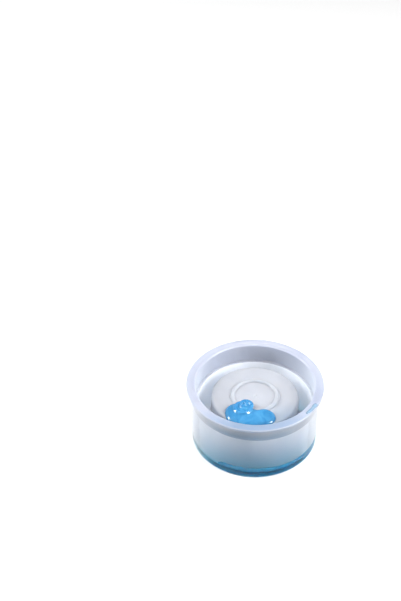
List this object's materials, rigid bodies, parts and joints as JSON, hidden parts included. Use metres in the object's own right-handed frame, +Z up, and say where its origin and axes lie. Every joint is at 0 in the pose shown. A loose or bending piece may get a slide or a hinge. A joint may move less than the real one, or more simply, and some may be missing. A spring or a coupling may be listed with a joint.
{
  "type": "resin casting mould",
  "caption": "Round one-piece silicone mould with a lip, stepped wall and raised core, holding a charge of blue casting resin that lifts out of its channel.",
  "frame": {"origin": "centre of the face that the mould stands on, on the mould's own axis", "axes": "+Z up along the mould's axis, -Y towards the side where the resin runs over the core, +X to the right seen from there"},
  "size_m": [0.08, 0.08, 0.0405],
  "materials": {
    "silicone": "translucent milky silicone, soft gloss",
    "resin": "wet gloss, pigmented light blue",
    "resin_film": "thin wet film"
  },
  "bodies": {
    "mould": {"mould_body": "silicone", "rim_smear": "resin_film"},
    "casting": {"resin_pool": "resin", "resin_run": "resin", "resin_puddle": "resin"}
  },
  "joints": [
    {"name": "cast_lift", "type": "slide", "parent": "mould", "child": "casting", "axis": [0, 0, 1], "range_m": [0, 0.045]}
  ]
}
